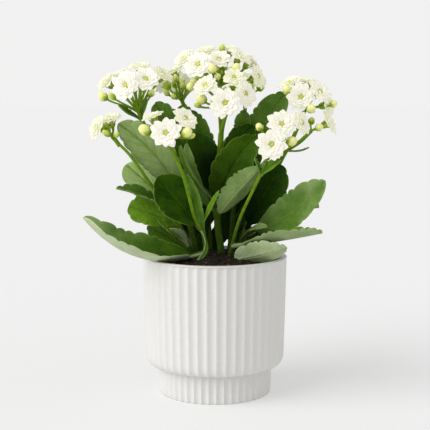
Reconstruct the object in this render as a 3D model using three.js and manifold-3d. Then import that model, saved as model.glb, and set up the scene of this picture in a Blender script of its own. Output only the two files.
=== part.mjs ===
// A double white kalanchoe in a fluted white ceramic pot, in millimetres, +Z up.
// The origin is the middle of the pot's underside, where it rests. The front of the plant faces -Y.
import * as THREE from "three";
import { mergeVertices } from "three/addons/utils/BufferGeometryUtils.js";
import Module from "manifold-3d";

// Driving dimensions: the pot.
const RIM_RADIUS = 60;
const POT_HEIGHT = 115;
const WALL = 5;
const FLUTES = 48;
const FLUTE_DEPTH = 1.3;
const FLUTE_TURN = THREE.MathUtils.degToRad(1.25);
const FOOT_HEIGHT = 24;
const FOOT_RADIUS = 47.5;
const LIP_HEIGHT = 1.5;
const FLOOR_THICKNESS = 6;
const SOIL_EDGE = 111.5;
const SOIL_CROWN = 6;
const CRUMB = 1.3;

// Driving dimensions: the plant.
const GAP = 0.3;
const LEAF_THICKNESS = 1.4;
const TOOTH_DEPTH = 1.9;
const STALK_RADIUS = 1.5;
const PEDICEL_RADIUS = 0.85;
const BLOOM_RADIUS = 13;
const PETAL_THICKNESS = 0.7;
const NODE_STEP = 2.4;
const CUP_LENGTH = 6.5;
const CUP_RADIUS = 2.6;
const STEM_FOOT = 98;

const wasm = await Module();
wasm.setup();

const v3 = (x, y, z) => new THREE.Vector3(x, y, z);

// A closed geometry as a solid.
function solid(geometry) {
  const bare = geometry.index ? geometry.toNonIndexed() : geometry.clone();
  bare.deleteAttribute("normal");
  bare.deleteAttribute("uv");
  const merged = mergeVertices(bare, 1e-4);
  return new wasm.Manifold(
    new wasm.Mesh({
      numProp: 3,
      vertProperties: merged.attributes.position.array,
      triVerts: new Uint32Array(merged.index.array),
    }),
  );
}

// A solid as a geometry with flat faces.
function geometryOf(made) {
  const mesh = made.getMesh();
  const geometry = new THREE.BufferGeometry();
  geometry.setAttribute("position", new THREE.BufferAttribute(mesh.vertProperties, 3));
  geometry.setIndex(new THREE.BufferAttribute(mesh.triVerts, 1));
  const flat = geometry.toNonIndexed();
  flat.computeVertexNormals();
  return flat;
}

// Points and triangles as a solid.
function shell(points, faces) {
  const geometry = new THREE.BufferGeometry();
  const flat = faces.flatMap((face) => face.flatMap((i) => points[i].toArray()));
  geometry.setAttribute("position", new THREE.Float32BufferAttribute(flat, 3));
  return solid(geometry);
}

const fuse = (solids) => solids.reduce((whole, piece) => whole.add(piece));

// The largest body of a cut solid: scraps that a cut sets loose are dropped.
function largest(made) {
  const bodies = made.decompose();
  return bodies.reduce((best, body) => (body.volume() > best.volume() ? body : best));
}

// The faces between two closed rings of points, the second ring above the first and both
// counter-clockwise from above. Rings may hold different numbers of points.
function band(low, high) {
  const faces = [];
  let i = 0;
  let j = 0;
  while (i < low.length || j < high.length) {
    const a = low[i % low.length];
    const b = high[j % high.length];
    const lowNext = (i + 1) / low.length <= (j + 1) / high.length;
    if (j >= high.length || (lowNext && i < low.length)) {
      i += 1;
      faces.push([a, low[i % low.length], b]);
    } else {
      j += 1;
      faces.push([a, high[j % high.length], b]);
    }
  }
  return faces;
}

// The fan that closes a ring, seen from above when "top" is true.
function fan(ring, centre, top) {
  return ring.map((a, i) => {
    const b = ring[(i + 1) % ring.length];
    return top ? [a, b, centre] : [b, a, centre];
  });
}

// Rings of points stacked into a closed body, with a point at each end.
function stack(rings, start, end) {
  const points = [start];
  const rows = rings.map((ring) => ring.map((p) => points.push(p) - 1));
  points.push(end);
  const faces = fan(rows[0], 0, false);
  rows.slice(1).forEach((row, i) => faces.push(...band(rows[i], row)));
  faces.push(...fan(rows.at(-1), points.length - 1, true));
  return shell(points, faces);
}

const circle = (count, radius, z, turn = 0) =>
  Array.from({ length: count }, (_, i) => {
    const a = turn + (2 * Math.PI * i) / count;
    return v3(radius * Math.cos(a), radius * Math.sin(a), z);
  });

// ---- The pot: straight flutes from the foot to the plain lip ----

// Each flute is a crest and the lowest line of the valley beside it.
function flutedRing(radius, z) {
  return Array.from({ length: 2 * FLUTES }, (_, i) => {
    const a = FLUTE_TURN - Math.PI / 2 + (Math.PI * i) / FLUTES;
    const reach = i % 2 ? radius - FLUTE_DEPTH : radius;
    return v3(reach * Math.cos(a), reach * Math.sin(a), z);
  });
}

// The pot's profile as [radius, height], upwards: the foot, the step above it, the round
// in-curve of the body and its straight wall up to the lip.
const POT_OUTSIDE = [
  [FOOT_RADIUS - 0.6, 0],
  [FOOT_RADIUS, FOOT_HEIGHT],
  [RIM_RADIUS - 8, FOOT_HEIGHT + 0.4],
  [RIM_RADIUS - 3, FOOT_HEIGHT + 5],
  [RIM_RADIUS - 0.2, POT_HEIGHT - LIP_HEIGHT],
];
const POT_INSIDE = [
  [FOOT_RADIUS - WALL - 0.5, FLOOR_THICKNESS],
  [FOOT_RADIUS - WALL, FOOT_HEIGHT + 2],
  [RIM_RADIUS - WALL - 2.4, FOOT_HEIGHT + 13],
  [RIM_RADIUS - WALL, POT_HEIGHT],
];

function pot() {
  const start = FLUTE_TURN - Math.PI / 2;
  const plain = (radius, z) => circle(FLUTES, radius, z, start);
  const rings = [
    ...POT_OUTSIDE.map(([radius, z]) => flutedRing(radius, z)),
    plain(RIM_RADIUS, POT_HEIGHT - LIP_HEIGHT + 0.7),
    plain(RIM_RADIUS, POT_HEIGHT),
    ...POT_INSIDE.toReversed().map(([radius, z]) => plain(radius, z)),
  ];
  return stack(rings, v3(0, 0, 0), v3(0, 0, FLOOR_THICKNESS));
}

// ---- The soil: it fills the pot and rises a little towards the middle, in crumbs ----

function seededRandom(seed) {
  let state = seed;
  return () => {
    state = (Math.imul(state, 1664525) + 1013904223) >>> 0;
    return state / 2 ** 32;
  };
}

function soilBody() {
  const random = seededRandom(7);
  const count = 16;
  const side = POT_INSIDE.slice(0, -1).map(([radius, z]) => [radius - GAP, z + GAP]);
  const rings = side.map(([radius, z]) => circle(count, radius, z));
  const edge = RIM_RADIUS - WALL - GAP - 0.2;
  rings.push(circle(count, edge, SOIL_EDGE));
  for (const part of [0.82, 0.58, 0.32]) {
    const ring = circle(count, edge * part, SOIL_EDGE + SOIL_CROWN * (1 - part ** 2));
    for (const p of ring) p.z += CRUMB * (2 * random() - 1);
    rings.push(ring);
  }
  return stack(rings, v3(0, 0, FLOOR_THICKNESS + GAP), v3(0, 0, SOIL_EDGE + SOIL_CROWN));
}

// ---- Green growth: stems, leaves, calyces and buds. "grow" makes each a little larger all
// round, for cutting what lies near it clear of it. ----

// A round stem along a smooth curve through its points.
function tube(points, radius, sides, steps, grow = 0) {
  const curve = new THREE.CatmullRomCurve3(points.map((p) => v3(...p)));
  const section = new THREE.Shape(
    Array.from({ length: sides }, (_, i) => {
      const a = (2 * Math.PI * i) / sides;
      return new THREE.Vector2(Math.cos(a), Math.sin(a)).multiplyScalar(radius + grow);
    }),
  );
  const options = { steps, bevelEnabled: false, extrudePath: curve };
  return solid(new THREE.ExtrudeGeometry(section, options));
}

// The point of a stem at a height.
function atHeight(points, z) {
  const curve = new THREE.CatmullRomCurve3(points.map((p) => v3(...p)));
  const samples = curve.getPoints(60);
  return samples.reduce((best, p) => (Math.abs(p.z - z) < Math.abs(best.z - z) ? p : best));
}

// A blade's half width along it, 0 at the stem and 1 at the tip: a short stalk, then an
// outline that is widest past its middle, with a blunt round tip.
const STALK_PART = 0.12;
function halfWidth(part, width, belly, stalkHalf) {
  if (part <= STALK_PART) return stalkHalf;
  const along = (part - STALK_PART) / (1 - STALK_PART);
  const power = Math.log(0.5) / Math.log(belly);
  const blade = (width / 2) * Math.sin(Math.PI * along ** power) ** 0.6;
  return Math.max(blade, along < 0.5 ? stalkHalf : 0.5);
}

// A leaf from the stem to its tip. "face" is the way its upper side looks, "arch" how far the
// midrib rises above the straight line, "bend" how far it swings sideways, "fold" the angle to
// which the two halves are raised, "belly" where along the blade it is widest.
function leaf(base, spec, grow = 0) {
  const { tip, width, face, arch = 6, bend = 0, fold = 14, belly = 0.58, teeth = 4 } = spec;
  const start = base.clone();
  const end = v3(...tip);
  const line = end.clone().sub(start);
  const side = line.clone().cross(v3(...face)).normalize();
  const above = side.clone().cross(line).normalize();
  const middle = start.clone().lerp(end, 0.5);
  middle.addScaledVector(above, 2 * arch).addScaledVector(side, 2 * bend);
  const rib = new THREE.QuadraticBezierCurve3(start, middle, end);
  const raise = THREE.MathUtils.degToRad(fold);
  const stalkHalf = Math.min(1.8, width / 8);
  const half = LEAF_THICKNESS / 2 + grow;
  const points = [];
  const place = (part, across) => {
    const p = rib.getPoint(part);
    const along = rib.getTangent(part);
    const aside = side.clone().addScaledVector(along, -along.dot(side)).normalize();
    const normal = aside.clone().cross(along);
    p.addScaledVector(aside, across * Math.cos(raise));
    p.addScaledVector(normal, Math.abs(across) * Math.sin(raise));
    points.push(p.clone().addScaledVector(normal, half));
    points.push(p.clone().addScaledVector(normal, -half));
    return points.length - 2;
  };
  // The rib has a point at each notch, and each edge one at every notch and every crest.
  const notches = [0, STALK_PART * 0.9];
  for (let k = 1; k <= teeth; k += 1) {
    notches.push(STALK_PART + ((1 - STALK_PART) * k) / (teeth + 0.35));
  }
  const ribRow = notches.map((part) => place(part, 0));
  const edge = (sign) => {
    const row = [];
    notches.forEach((part, k) => {
      const dent = k > 1 ? TOOTH_DEPTH : 0;
      const across = halfWidth(part, width, belly, stalkHalf) + grow - dent;
      row.push(place(part, sign * Math.max(across, 0.6)));
      const crest = part + 0.62 * ((notches[k + 1] ?? 1) - part);
      if (k === 0) return;
      row.push(place(crest, sign * (halfWidth(crest, width, belly, stalkHalf) + grow)));
    });
    return row;
  };
  const right = edge(1);
  const left = edge(-1);
  const tipPoint = place(1, 0);
  const faces = [];
  const both = (a, b, c) => {
    faces.push([a, b, c]);
    faces.push([a + 1, c + 1, b + 1]);
  };
  const wall = (a, b) => {
    faces.push([a, a + 1, b + 1]);
    faces.push([a, b + 1, b]);
  };
  const halves = [
    [right, (a, b, c) => both(a, b, c), (a, b) => wall(a, b)],
    [left, (a, b, c) => both(a, c, b), (a, b) => wall(b, a)],
  ];
  for (const [row, add, rim] of halves) {
    const outline = [...row, tipPoint];
    add(ribRow[0], row[0], row[1]);
    add(ribRow[0], row[1], ribRow[1]);
    for (let k = 1; k < notches.length; k += 1) {
      const notch = row[2 * k - 1];
      const crest = row[2 * k];
      const next = outline[2 * k + 1];
      const ribNext = ribRow[k + 1] ?? tipPoint;
      add(ribRow[k], notch, crest);
      add(ribRow[k], crest, ribNext);
      if (next !== tipPoint) add(ribNext, crest, next);
    }
    outline.slice(1).forEach((b, i) => rim(outline[i], b));
    rim(ribRow[0], row[0]);
  }
  return shell(points, faces);
}

// A body with few sides that tapers along its stations, each a point and a radius.
function tapered(stations, sides, grow) {
  const way = stations.at(-1)[0].clone().sub(stations.at(-2)[0]).normalize();
  const aside = Math.abs(way.z) < 0.7 ? v3(0, 0, 1) : v3(1, 0, 0);
  const rings = stations.map(([place, radius], i) => {
    const before = stations[Math.max(i - 1, 0)][0];
    const after = stations[Math.min(i + 1, stations.length - 1)][0];
    const along = after.clone().sub(before).normalize();
    const across = along.clone().cross(aside).normalize();
    const third = along.clone().cross(across);
    return Array.from({ length: sides }, (_, k) => {
      const a = (2 * Math.PI * k) / sides;
      const spoke = across.clone().multiplyScalar(Math.cos(a)).addScaledVector(third, Math.sin(a));
      return place.clone().addScaledVector(spoke, radius + grow);
    });
  });
  return stack(rings, stations[0][0], stations.at(-1)[0]);
}

// A pedicel from its node that widens into the green cup under a bloom.
function pedicelWithCup(node, place, way, grow) {
  const back = (distance) => place.clone().addScaledVector(way, -distance);
  const stations = [
    [node, PEDICEL_RADIUS],
    [back(CUP_LENGTH), PEDICEL_RADIUS * 1.2],
    [back(GAP - grow), CUP_RADIUS],
  ];
  return tapered(stations, 3, grow);
}

// A closed bud on its own pedicel.
const BUD_SIDES = 4;
function bud(node, place, radius, grow) {
  const way = place.clone().sub(node).normalize();
  const at = (distance) => place.clone().addScaledVector(way, distance * radius);
  const stations = [
    [node, PEDICEL_RADIUS * 0.8],
    [at(-1.1), PEDICEL_RADIUS],
    [at(0), radius],
    [at(1.2), radius * 0.3],
  ];
  return tapered(stations, BUD_SIDES, grow);
}

// ---- Blooms: three layers of petals round a closed heart, in one body ----

// One petal's outline as [share of its angle, share of the radius]: a notch and a tip.
const PETAL = [[0, 0.66], [0.5, 1]];

// The layers from the outside in: "reach" is the share of the bloom's radius, "cup" the angle
// to which the petals are raised, "height" where they meet the middle.
const OUTER = { petals: 8, reach: 1, cup: 8, height: 0.3, turn: 0 };
const INNER = { petals: 5, reach: 0.78, cup: 24, height: 1.4, turn: 0.35 };
const HEART = { petals: 3, reach: 0.42, cup: 40, height: 2.6, turn: 0.1 };
const NECK_RADIUS = 1.7;
const NECK_SIDES = 3;
const HEART_TOP = 4.6;

// The edge of a layer of petals on its cone.
function petalEdge(layer, full, turn) {
  const lift = Math.tan(THREE.MathUtils.degToRad(layer.cup));
  const ring = [];
  for (let i = 0; i < layer.petals; i += 1) {
    for (const [part, share] of PETAL) {
      const a = turn + layer.turn + (2 * Math.PI * (i + part)) / layer.petals;
      const r = full * layer.reach * share;
      ring.push(v3(r * Math.cos(a), r * Math.sin(a), layer.height + r * lift));
    }
  }
  return ring;
}

const raised = (ring, by) => ring.map((p) => p.clone().add(v3(0, 0, by)));

function bloom(place, way, size, turn, grow = 0) {
  const full = BLOOM_RADIUS * size + grow;
  const thick = PETAL_THICKNESS + 2 * grow;
  const outer = petalEdge(OUTER, full, turn);
  const inner = petalEdge(INNER, full, turn);
  const rings = [
    outer,
    raised(outer, thick),
    circle(NECK_SIDES, NECK_RADIUS, INNER.height + 0.5, turn),
    inner,
    raised(inner, thick * 1.2),
    circle(NECK_SIDES, NECK_RADIUS, HEART.height + 0.8, turn + INNER.turn),
    petalEdge(HEART, full, turn),
  ];
  const pose = new THREE.Matrix4().compose(
    place,
    new THREE.Quaternion().setFromUnitVectors(v3(0, 0, 1), way),
    v3(1, 1, 1),
  );
  const ends = [v3(0, 0, -grow), v3(0, 0, HEART_TOP + grow)];
  [...rings.flat(), ...ends].forEach((p) => p.applyMatrix4(pose));
  return stack(rings, ...ends);
}

// ---- The plant: leafy stems, each with its leaves, flower stalks, buds and blooms ----

// A stem's "path" climbs from its hole in the soil, and "radius" is its thickness. Each leaf
// grows from it at the height "from", and the narrow ones near its top are bracts. A head has
// its stalk, its blooms as [middle, direction, size] and its buds as [x, y, z, radius].
const STEMS = [
  {
    name: "centre",
    path: [[6, -2, 98], [5, -2, 120], [2, -2, 142], [2, -1, 170], [4, -3, 200], [5, -6, 217]],
    radius: 2.8,
    leaves: [
      {
        from: 151, tip: [34, -14, 215], width: 33, face: [-0.15, -0.97, 0.2],
        arch: 5, bend: -5, belly: 0.5, teeth: 6,
      },
      { from: 160, tip: [-18, 6, 217], width: 28, face: [0.2, -0.9, 0.2], teeth: 5 },
      { from: 182, tip: [-21, 26, 235], width: 16, face: [0.2, -0.9, 0.3] },
      { from: 192, tip: [32, 20, 222], width: 21, face: [-0.1, -0.9, 0.4], arch: 3 },
      {
        from: 158, tip: [-28, -21, 208], width: 12, face: [-0.85, -0.5, 0.2],
        arch: 4, fold: 30, teeth: 2,
      },
      { from: 150, tip: [-23, -8, 209], width: 12, face: [-0.2, -0.9, 0.3], arch: 4, bend: -6 },
    ],
    heads: [
      {
        name: "top",
        stalk: [[5, -6, 217], [4, -1, 238], [4, 4, 256]],
        blooms: [
          [[-13, -12, 272], [-0.3, -0.85, 0.4], 0.95],
          [[3, -3, 276], [0.05, -0.6, 0.8], 0.95],
          [[20, 3, 279], [0.5, -0.35, 0.8], 0.9],
          [[-25, 6, 277], [-0.6, -0.5, 0.62], 0.85],
          [[34, 6, 263], [0.8, -0.45, 0.3], 0.85],
          [[-8, 15, 283], [-0.2, -0.3, 0.93], 0.85],
          [[12, 17, 285], [0.15, -0.25, 0.95], 0.85],
          [[28, 17, 275], [0.6, 0.3, 0.75], 0.85],
        ],
        buds: [[-2, -18, 269, 3.6], [17, -14, 270, 3.6], [2, -15, 263, 2.8], [6, 8, 286, 2.6]],
      },
      {
        name: "middle",
        stalk: [[5, -6, 214], [7, -11, 226], [10, -14, 236]],
        blooms: [
          [[-7, -24, 255], [-0.4, -0.7, 0.6], 0.85],
          [[8, -38, 242], [0, -1, 0.08], 1],
          [[23, -28, 249], [0.7, -0.65, 0.2], 0.95],
          [[15, -20, 261], [0.2, -0.75, 0.65], 0.8],
        ],
        buds: [[-11, -24, 245, 4], [-1, -30, 243, 2.6], [-14, -22, 240, 2.2]],
      },
    ],
  },
  {
    name: "left",
    path: [[-14, 6, 98], [-16, 6, 116], [-24, 6, 150], [-36, 0, 182], [-61, -8, 230]],
    radius: 2.1,
    leaves: [
      {
        from: 160, tip: [-78, -22, 225], width: 35, face: [-0.3, -0.85, 0.45],
        arch: 2, bend: 7, belly: 0.57, teeth: 5,
      },
      { from: 140, tip: [-75, 16, 190], width: 32, face: [-0.3, -0.75, 0.6], belly: 0.66 },
      { from: 122, tip: [-68, 52, 154], width: 38, face: [-0.2, 0.5, 0.85], teeth: 3 },
      { from: 229, tip: [-78, -16, 240], width: 7, face: [0.3, -0.6, 0.7], arch: -1, teeth: 1 },
      { from: 229, tip: [-55, -12, 245], width: 6, face: [-0.6, -0.8, 0], arch: 1, teeth: 1 },
    ],
    heads: [
      {
        name: "left_upper",
        stalk: [[-60, -8, 228], [-61, -9, 231], [-62, -9, 234]],
        blooms: [
          [[-71, -20, 256], [-0.4, -0.9, 0.15], 1],
          [[-56, -15, 260], [0.1, -0.75, 0.65], 1],
          [[-88, -4, 258], [-0.65, -0.4, 0.6], 0.8],
          [[-79, 6, 264], [-0.4, -0.15, 0.9], 0.85],
          [[-62, 8, 270], [0, -0.3, 0.95], 0.85],
          [[-44, 4, 264], [0.5, -0.35, 0.75], 0.85],
        ],
        buds: [[-91, -11, 247, 3.6], [-83, -16, 247, 2.6], [-52, -8, 250, 3]],
      },
    ],
  },
  {
    name: "left_low",
    path: [
      [-18, -5, 98], [-20, -4, 116], [-31, -9, 145], [-52, -27, 177], [-68, -34, 201],
      [-76, -33, 209],
    ],
    radius: 1.45,
    leaves: [
      { from: 137, tip: [-71, -8, 157], width: 30, face: [-0.1, -0.8, 0.6], belly: 0.66 },
      { from: 146, tip: [-80, -22, 173], width: 20, face: [-0.1, -0.35, 1] },
      { from: 124, tip: [-36, -18, 140], width: 12, face: [0.5, 0.8, 0], arch: 1, teeth: 2 },
      { from: 127, tip: [-47, -15, 147], width: 14, face: [0.1, -0.7, 0.7], arch: 2, teeth: 3 },
      { from: 118, tip: [-56, -2, 140], width: 26, face: [0.05, -0.75, 0.65], arch: 3, teeth: 3 },
    ],
    heads: [
      {
        name: "left_lower",
        stalk: [[-76, -33, 208], [-79, -31, 212], [-82, -29, 215]],
        blooms: [
          [[-93, -29, 222], [-0.8, -0.5, 0.3], 0.85],
          [[-84, -20, 228], [-0.2, -0.3, 0.93], 0.8],
        ],
        buds: [[-86, -36, 218, 2.6], [-78, -37, 217, 2.4]],
      },
    ],
  },
  {
    name: "front_left",
    path: [
      [-8, -18, 98], [-8, -18, 116], [-9, -22, 134], [-16, -27, 149], [-25, -38, 184],
      [-34, -44, 206],
    ],
    radius: 1.7,
    leaves: [
      { from: 139, tip: [-46, -31, 183], width: 35, face: [-0.3, -0.9, 0.3] },
      { from: 141, tip: [3, -41, 173], width: 5.5, face: [-0.5, -0.7, 0.4], arch: 0, teeth: 1 },
      {
        from: 141, tip: [-14, -45, 118], width: 5, face: [0.8, -0.4, 0.3],
        arch: 3, bend: -6, teeth: 2,
      },
      { from: 134, tip: [-23, -28, 185], width: 11, face: [-0.5, -0.8, 0.3], arch: 3, bend: 4 },
      {
        from: 121, tip: [-104, -45, 152], width: 40, face: [0.1, -0.34, 0.94],
        arch: -15, bend: -10, fold: 42, belly: 0.42, teeth: 6,
      },
    ],
    heads: [
      {
        name: "front_left",
        stalk: [[-34, -44, 205], [-35, -44, 210], [-36, -43, 214]],
        blooms: [
          [[-38, -51, 219], [-0.1, -1, 0.1], 1],
          [[-24, -41, 229], [0.5, -0.6, 0.6], 0.9],
          [[-49, -35, 230], [-0.35, -0.15, 0.93], 0.8],
        ],
        buds: [[-55, -47, 221, 4.4], [-22, -51, 219, 4], [-19, -44, 216, 2.4]],
      },
    ],
  },
  {
    name: "front_right",
    path: [
      [12, -16, 98], [12, -16, 116], [15, -20, 130], [20, -28, 149], [37, -42, 188],
      [41, -45, 199],
    ],
    radius: 1.4,
    leaves: [
      { from: 126, tip: [84, -53, 141], width: 27, face: [0, 0.05, 1], arch: -1, fold: 34, teeth: 6 },
      {
        from: 113, tip: [57, -45, 128], width: 25, face: [0, 0.9, 0.45],
        arch: -2, belly: 0.42, teeth: 5,
      },
      { from: 185, tip: [51, -50, 198], width: 9, face: [0.2, -0.7, 0.7], arch: 1, teeth: 1 },
      { from: 185, tip: [31, -49, 199], width: 5, face: [-0.2, -0.5, 0.8], arch: 1, teeth: 1 },
      {
        from: 196, tip: [3, -25, 153], width: 24, face: [-0.3, 0.95, 0],
        arch: 3, fold: 30, belly: 0.55, teeth: 6,
      },
    ],
    heads: [
      {
        name: "front_right",
        stalk: [[41, -45, 198], [44, -42, 204], [48, -39, 210]],
        blooms: [
          [[44, -51, 210], [0, -1, 0.08], 1],
          [[52, -45, 225], [0.1, -0.85, 0.35], 0.95],
          [[67, -37, 226], [0.8, -0.5, 0.3], 0.9],
        ],
        buds: [[60, -46, 212, 3.8], [35, -40, 223, 3], [56, -32, 231, 3]],
      },
    ],
  },
  {
    name: "right",
    path: [[20, 6, 98], [21, 6, 116], [28, 12, 140], [45, 17, 171], [54, 12, 191], [60, 2, 204]],
    radius: 2.2,
    leaves: [
      { from: 134, tip: [56, 5, 190], width: 35, face: [-0.1, -0.95, 0.3], belly: 0.56, teeth: 6 },
      {
        from: 134, tip: [88, -30, 180], width: 34, face: [-0.25, -0.85, 0.5],
        arch: 0, bend: 9, belly: 0.55, teeth: 6,
      },
      { from: 122, tip: [43, -22, 141], width: 12, face: [0, -0.5, 0.85], teeth: 2 },
      { from: 126, tip: [90, 34, 152], width: 36, face: [0.3, 0.4, 0.85], teeth: 3 },
      { from: 203, tip: [76, -18, 206], width: 5, face: [0, -0.2, 1], arch: -2, teeth: 1 },
      { from: 128, tip: [60, -12, 132], width: 20, face: [0, -0.3, 0.95], arch: 1, teeth: 3 },
    ],
    heads: [
      {
        name: "right_upper",
        stalk: [[60, 2, 202], [67, -1, 219], [74, -1, 236]],
        blooms: [
          [[70, -10, 247], [-0.1, -0.97, -0.1], 0.95],
          [[85, -5, 250], [0.5, -0.55, 0.6], 0.95],
          [[92, 4, 240], [0.85, -0.4, 0.2], 0.85],
          [[62, 3, 257], [-0.45, -0.35, 0.85], 0.85],
          [[77, 13, 258], [0.1, -0.05, 1], 0.85],
        ],
        buds: [[59, -7, 252, 3.6], [78, -14, 237, 3.6], [97, -5, 241, 2.8]],
      },
      {
        name: "right_lower",
        stalk: [[60, 2, 203], [70, -3, 210], [79, -5, 219]],
        blooms: [[[93, 0, 225], [0.85, -0.3, 0.4], 0.9]],
        buds: [[85, -11, 222, 3], [80, 4, 227, 2.8]],
      },
    ],
  },
  {
    name: "back_left",
    path: [[-3, 20, 98], [-4, 20, 116], [-8, 25, 160], [-16, 27, 200], [-22, 27, 230]],
    radius: 2.3,
    leaves: [
      { from: 184, tip: [-51, 30, 242], width: 26, face: [-0.2, -0.9, 0.4] },
      { from: 196, tip: [-29, 48, 240], width: 17, face: [-0.1, -0.8, 0.5] },
      { from: 118, tip: [-58, 66, 158], width: 40, face: [-0.2, 0.3, 0.95], teeth: 2 },
      { from: 128, tip: [-20, 84, 176], width: 40, face: [0, -0.3, 0.95], teeth: 3 },
      { from: 166, tip: [-48, 58, 212], width: 34, face: [0.2, -0.5, 0.8], teeth: 3 },
      { from: 126, tip: [-34, 30, 172], width: 32, face: [0.2, -0.9, 0.4], teeth: 2 },
      { from: 112, tip: [10, 43, 134], width: 18, face: [0, -0.9, 0.4], teeth: 2 },
      { from: 110, tip: [-28, 40, 132], width: 24, face: [0, -0.9, 0.4], teeth: 2 },
    ],
    heads: [
      {
        name: "back_left",
        stalk: [[-22, 27, 228], [-25, 29, 236], [-28, 31, 243]],
        blooms: [
          [[-42, 38, 257], [-0.5, 0.6, 0.6], 0.85],
          [[-30, 50, 258], [-0.2, 0.9, 0.4], 0.9],
          [[-13, 46, 264], [0.3, 0.6, 0.75], 0.85],
          [[-34, 26, 268], [-0.3, -0.2, 0.95], 0.8],
        ],
        buds: [
          [-20, -8, 255, 3.4], [-18, 8, 259, 3], [-27, 8, 256, 2.6], [-40, 2, 250, 2.5],
          [-34, -4, 247, 2.4], [-32, 4, 262, 2.6],
        ],
      },
    ],
  },
  {
    name: "back_right",
    path: [[12, 18, 98], [13, 19, 116], [17, 30, 160], [23, 40, 200], [26, 44, 232]],
    radius: 2.3,
    leaves: [
      { from: 194, tip: [60, 24, 250], width: 28, face: [-0.2, -0.95, 0.2], arch: 3 },
      { from: 160, tip: [34, 40, 212], width: 28, face: [-0.1, -0.9, 0.3], teeth: 2 },
      { from: 203, tip: [25, 25, 236], width: 16, face: [-0.1, -0.9, 0.4], arch: 3 },
      { from: 120, tip: [52, 74, 156], width: 40, face: [0.2, 0.3, 0.95], teeth: 3 },
      { from: 142, tip: [60, 60, 176], width: 34, face: [-0.3, -0.3, 0.9], teeth: 3 },
      { from: 165, tip: [24, 84, 212], width: 34, face: [0, -0.5, 0.8], teeth: 3 },
      { from: 117, tip: [9, 52, 175], width: 30, face: [0.1, -0.9, 0.4], teeth: 2 },
      { from: 109, tip: [38, 38, 130], width: 26, face: [0, -0.85, 0.5], teeth: 2 },
    ],
    heads: [
      {
        name: "back_right",
        stalk: [[26, 44, 230], [26, 45, 240], [26, 46, 248]],
        blooms: [
          [[10, 52, 265], [-0.4, 0.5, 0.8], 0.85],
          [[36, 44, 264], [0.7, 0.1, 0.7], 0.85],
          [[26, 60, 258], [0.2, 0.95, 0.2], 0.9],
        ],
        buds: [[40, 54, 255, 3.4], [14, 60, 254, 3]],
      },
    ],
  },
];

const COLOURS = {
  glaze: { color: "#ecebe6", roughness: 0.45, metalness: 0 },
  soil: { color: "#2c1d13", roughness: 1, metalness: 0 },
  green: { color: "#3f7a22", roughness: 0.45, metalness: 0 },
  petal: { color: "#f7f5ee", roughness: 0.6, metalness: 0 },
};

// The whole of one leafy stem as one solid.
function leafyStem(stem, grow = 0) {
  const [[footX, footY, footZ], ...rest] = stem.path;
  const parts = [tube([[footX, footY, footZ - grow], ...rest], stem.radius, 5, 6, grow)];
  for (const spec of stem.leaves) {
    parts.push(leaf(atHeight(stem.path, spec.from), spec, grow));
  }
  for (const head of stem.heads) {
    parts.push(tube(head.stalk, STALK_RADIUS, 5, 2, grow));
    const node = v3(...head.stalk.at(-1));
    const down = v3(...head.stalk.at(-2)).sub(node).normalize();
    const start = (i) => node.clone().addScaledVector(down, NODE_STEP * (i % 3));
    head.blooms.forEach(([place, direction], i) => {
      parts.push(pedicelWithCup(start(i), v3(...place), v3(...direction).normalize(), grow));
    });
    head.buds.forEach(([x, y, z, radius], i) => {
      parts.push(bud(start(i + 1), v3(x, y, z), radius, grow));
    });
  }
  return fuse(parts);
}

const group = new THREE.Group();

function addMesh(name, made, finish) {
  const mesh = new THREE.Mesh(geometryOf(made), new THREE.MeshStandardMaterial(finish));
  mesh.name = name;
  group.add(mesh);
}

const potBody = pot();
addMesh("pot", potBody, COLOURS.glaze);

const greens = [];
for (const stem of STEMS) {
  let body = leafyStem(stem);
  for (const other of greens) body = body.subtract(other.grown);
  body = largest(body);
  addMesh("stem_" + stem.name, body, COLOURS.green);
  greens.push({ body, grown: leafyStem(stem, GAP) });
}

let soil = soilBody();
for (const other of greens) soil = soil.subtract(other.grown);
addMesh("soil", largest(soil), COLOURS.soil);

const open = [];
for (const stem of STEMS) {
  for (const head of stem.heads) {
    head.blooms.forEach(([place, direction, size], i) => {
      const way = v3(...direction).normalize();
      const turn = 0.7 * i;
      let body = bloom(v3(...place), way, size, turn);
      for (const other of greens) body = body.subtract(other.grown);
      for (const other of open) body = body.subtract(other);
      addMesh(`bloom_${head.name}_${i + 1}`, largest(body), COLOURS.petal);
      open.push(bloom(v3(...place), way, size, turn, GAP));
    });
  }
}

export default group;
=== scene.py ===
import math

import bpy
import numpy as np
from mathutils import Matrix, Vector, noise


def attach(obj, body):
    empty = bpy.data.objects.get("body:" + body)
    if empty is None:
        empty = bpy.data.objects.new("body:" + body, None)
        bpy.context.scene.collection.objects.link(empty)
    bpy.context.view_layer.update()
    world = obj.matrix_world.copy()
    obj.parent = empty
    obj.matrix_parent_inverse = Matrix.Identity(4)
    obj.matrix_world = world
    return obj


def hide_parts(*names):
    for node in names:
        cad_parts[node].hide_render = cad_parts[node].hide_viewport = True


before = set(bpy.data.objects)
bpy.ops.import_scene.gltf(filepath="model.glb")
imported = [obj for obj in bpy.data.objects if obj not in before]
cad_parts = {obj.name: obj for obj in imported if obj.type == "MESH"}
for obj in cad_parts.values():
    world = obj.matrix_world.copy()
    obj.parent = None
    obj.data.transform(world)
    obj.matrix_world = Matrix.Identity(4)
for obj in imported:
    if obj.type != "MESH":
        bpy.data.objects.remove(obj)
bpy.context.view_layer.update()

# ---- The studio ----
# A seamless pale floor under an even, bright white tent, with one broad soft light high on the
# left and a weak bounce from the right. The camera is level with the blooms and looks down a
# little.
CAMERA_DISTANCE, CAMERA_HEIGHT, CAMERA_DIP = 0.86737, 0.24585, 6.38
bpy.context.scene.view_settings.view_transform = "Standard"
bpy.ops.object.select_all(action="DESELECT")
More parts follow.
